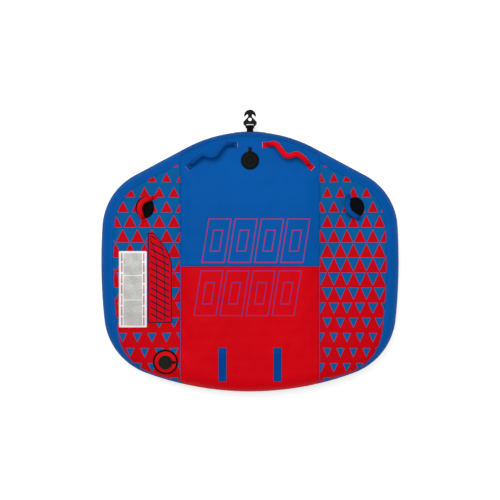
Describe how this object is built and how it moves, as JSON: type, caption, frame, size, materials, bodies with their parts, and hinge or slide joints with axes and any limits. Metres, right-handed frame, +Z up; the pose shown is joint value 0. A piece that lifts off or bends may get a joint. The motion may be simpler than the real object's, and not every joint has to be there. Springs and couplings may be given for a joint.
{
  "type": "towable tube",
  "caption": "Inflatable deck tube for towing riders behind a boat: flat sewn cover over a bladder, padded grab handles, valves, and a moulded tow connector on a nose strap.",
  "frame": {"origin": "middle of the flat underside, on the line of the hull's widest section", "axes": "+X to the tube's right, +Y towards the nose and tow point, +Z up"},
  "size_m": [1.7, 1.6226, 0.369],
  "materials": {
    "blue_cover": "woven nylon, matt",
    "red_cover": "woven nylon, matt",
    "printed_cover": "woven nylon with a two-colour triangle print",
    "black_cover": "coated nylon, matt",
    "bladder_vinyl": "welded vinyl sheet",
    "red_vinyl": "vinyl sheet, satin",
    "blue_webbing": "flat woven webbing",
    "black_webbing": "flat woven webbing",
    "black_binding": "folded binding tape",
    "black_neoprene": "foam rubber with a knit face",
    "black_rubber": "moulded rubber, satin",
    "black_moulding": "moulded nylon, lightly textured",
    "white_label": "printed film, satin",
    "blue_grip": "padded sleeve, knitted nylon",
    "red_grip": "padded sleeve, knitted nylon",
    "zip_fabric": "woven zip tape",
    "zip_metal": "plated metal, worn"
  },
  "bodies": {
    "hull": {"bladder": "bladder_vinyl", "baffle_outer_left": "bladder_vinyl", "baffle_inner_left": "bladder_vinyl", "baffle_inner_right": "bladder_vinyl", "baffle_outer_right": "bladder_vinyl", "deck_panel_front": "blue_cover", "nose_band": "blue_cover", "deck_panel_rear": "red_cover", "wing_panel_left": "printed_cover", "wing_panel_right": "printed_cover", "side_band_left": "blue_cover", "side_band_right": "blue_cover", "bottom_panel": "black_cover", "rear_valve_dish": "red_vinyl", "rear_strap_left": "blue_webbing", "rear_strap_right": "blue_webbing", "knuckle_pad_left": "black_neoprene", "knuckle_pad_right": "black_neoprene", "label_patch": "white_label", "rear_valve_collar": "black_binding", "tow_patch": "black_binding", "bow_left_foot_front": "blue_grip", "bow_left_foot_rear": "blue_grip", "bow_right_foot_front": "red_grip", "bow_right_foot_rear": "red_grip", "side_left_foot_front": "red_grip", "side_left_foot_rear": "red_grip", "side_right_foot_front": "blue_grip", "side_right_foot_rear": "blue_grip", "bow_port_socket": "black_moulding", "bow_port_membrane": "black_rubber", "bow_port_anchor": "black_webbing", "rear_valve_socket": "black_moulding", "zip_tape": "zip_fabric", "zip_coil": "black_moulding", "zip_stop_left": "zip_metal", "zip_stop_right": "zip_metal", "drain_eyelet_left": "black_moulding", "drain_eyelet_right": "black_moulding"},
    "tow_strap": {"tow_strap": "black_webbing"},
    "tow_connector": {"tow_connector": "black_moulding"},
    "bow_left_handle": {"bow_left_grip": "blue_grip"},
    "bow_right_handle": {"bow_right_grip": "red_grip"},
    "side_left_handle": {"side_left_grip": "red_grip"},
    "side_right_handle": {"side_right_grip": "blue_grip"},
    "port_lid": {"bow_port_lid": "black_rubber"},
    "cap_ring": {"rear_valve_tether": "black_rubber"},
    "cap": {"rear_valve_cap": "black_moulding"},
    "slider": {"zip_slider": "zip_metal"},
    "puller": {"zip_puller": "zip_metal"}
  },
  "joints": [
    {"name": "tow_strap_flex", "type": "hinge", "parent": "hull", "child": "tow_strap", "pos_m": [0, 0.7469, 0.15], "axis": [1, 0, 0], "range_deg": [-45, 45]},
    {"name": "tow_connector_tilt", "type": "hinge", "parent": "tow_strap", "child": "tow_connector", "pos_m": [0, 0.774, 0.15], "axis": [1, 0, 0], "range_deg": [-50, 50]},
    {"name": "bow_left_swing", "type": "hinge", "parent": "hull", "child": "bow_left_handle", "pos_m": [-0.104, 0.648, 0.316], "axis": [-0.8961, -0.444, 0], "range_deg": [-60, 60], "stiffness_Nm_per_rad": 0.5},
    {"name": "bow_right_swing", "type": "hinge", "parent": "hull", "child": "bow_right_handle", "pos_m": [0.104, 0.648, 0.316], "axis": [0.8961, -0.444, 0], "range_deg": [-60, 60], "stiffness_Nm_per_rad": 0.5},
    {"name": "side_left_swing", "type": "hinge", "parent": "hull", "child": "side_left_handle", "pos_m": [-0.543, 0.351, 0.318], "axis": [-0.4439, -0.8961, 0], "range_deg": [-100, 40], "stiffness_Nm_per_rad": 0.5},
    {"name": "side_right_swing", "type": "hinge", "parent": "hull", "child": "side_right_handle", "pos_m": [0.543, 0.351, 0.318], "axis": [0.4439, -0.8961, 0], "range_deg": [-100, 40], "stiffness_Nm_per_rad": 0.5},
    {"name": "port_lid_flip", "type": "hinge", "parent": "hull", "child": "port_lid", "pos_m": [0, 0.63, 0.3048], "axis": [-1, 0, 0], "range_deg": [0, 110]},
    {"name": "cap_lift", "type": "slide", "parent": "hull", "child": "cap_ring", "axis": [0, 0, 1], "range_m": [0, 0.01]},
    {"name": "cap_turn", "type": "hinge", "parent": "cap_ring", "child": "cap", "pos_m": [-0.47, -0.56, 0.305], "axis": [0, 0, 1], "range_deg": [0, 900]},
    {"name": "zip_slide", "type": "hinge", "parent": "hull", "child": "slider", "pos_m": [0, 0.954, 0.15], "axis": [0, 0, -1], "range_deg": [0, 22.3]},
    {"name": "puller_swing", "type": "hinge", "parent": "slider", "child": "puller", "pos_m": [0.33191, -0.72333, 0.153], "axis": [-0.981, -0.1941, 0], "range_deg": [0, 150]}
  ],
  "couplings": [
    {"joint": "cap_lift", "follows": "cap_turn", "m_per_rad": 0.00063662}
  ]
}
